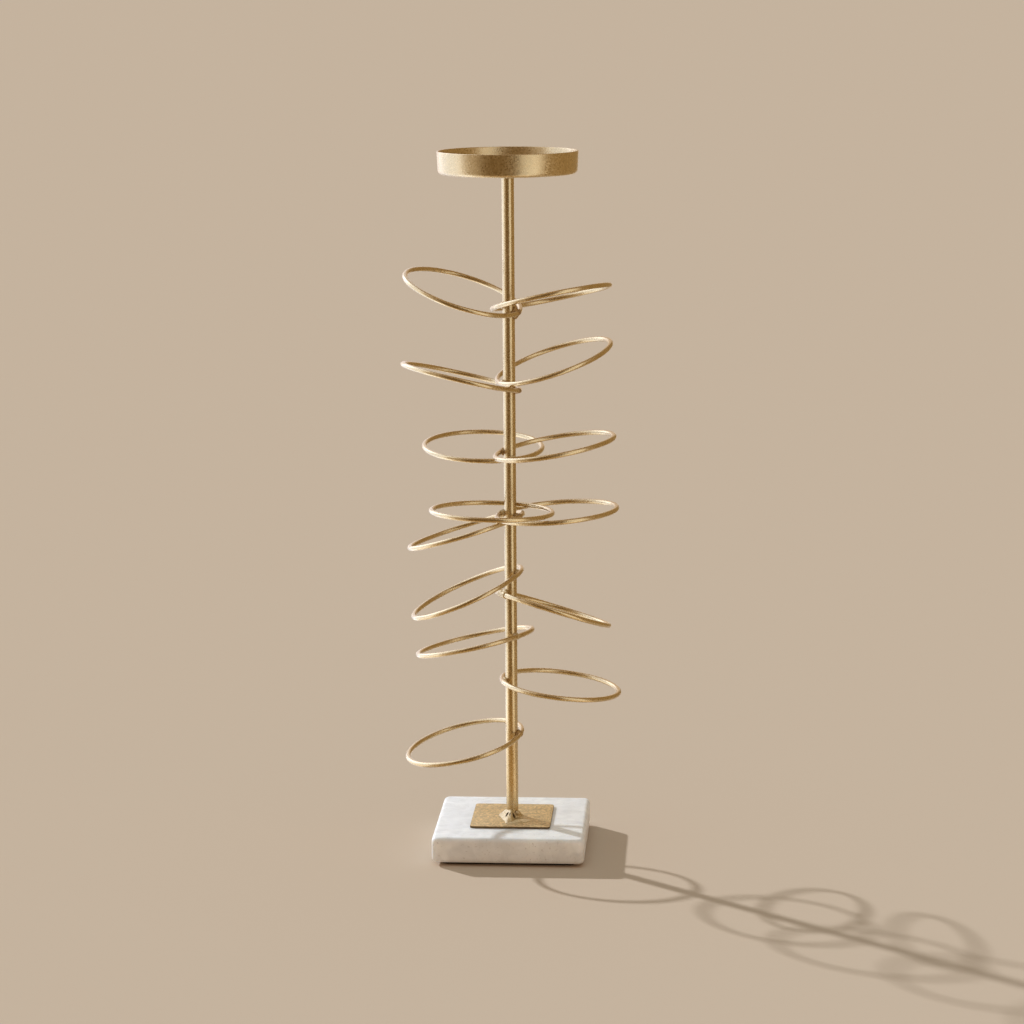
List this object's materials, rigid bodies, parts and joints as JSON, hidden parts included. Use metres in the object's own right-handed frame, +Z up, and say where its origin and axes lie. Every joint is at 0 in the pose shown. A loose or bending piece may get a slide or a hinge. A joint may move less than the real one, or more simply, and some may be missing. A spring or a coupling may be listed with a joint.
{
  "type": "candle holder",
  "caption": "Tall pillar-candle holder: shallow round brass dish on a slim stem with welded wire rings like leaves, on a square marble base",
  "frame": {"origin": "middle of the underside of the pad, on the stem's axis, where the holder stands on a table", "axes": "+Z up along the stem, X and Y along the sides of the square base, -Y towards the front"},
  "size_m": [0.1437, 0.1391, 0.4621],
  "materials": {
    "brass": "satin, fine grain",
    "weld": "lumpy weld, same finish over it",
    "marble": "honed white marble with faint grey veins",
    "felt": "matt felt",
    "steel": "zinc plated"
  },
  "bodies": {
    "root": {"felt_pad": "felt", "marble_base": "marble", "fixing_screw": "steel", "flat_washer": "steel", "base_plate": "brass", "stem": "brass", "foot_weld": "weld", "ring_01": "brass", "ring_01_weld": "weld", "ring_02": "brass", "ring_02_weld": "weld", "ring_03": "brass", "ring_03_weld": "weld", "ring_04": "brass", "ring_04_weld": "weld", "ring_05": "brass", "ring_05_weld": "weld", "ring_06": "brass", "ring_06_weld": "weld", "ring_07": "brass", "ring_07_weld": "weld", "ring_08": "brass", "ring_08_weld": "weld", "ring_09": "brass", "ring_09_weld": "weld", "ring_10": "brass", "ring_10_weld": "weld", "ring_11": "brass", "ring_11_weld": "weld", "ring_12": "brass", "ring_12_weld": "weld", "ring_13": "brass", "ring_13_weld": "weld", "ring_14": "brass", "ring_14_weld": "weld", "candle_dish": "brass", "dish_weld": "weld"}
  },
  "joints": []
}
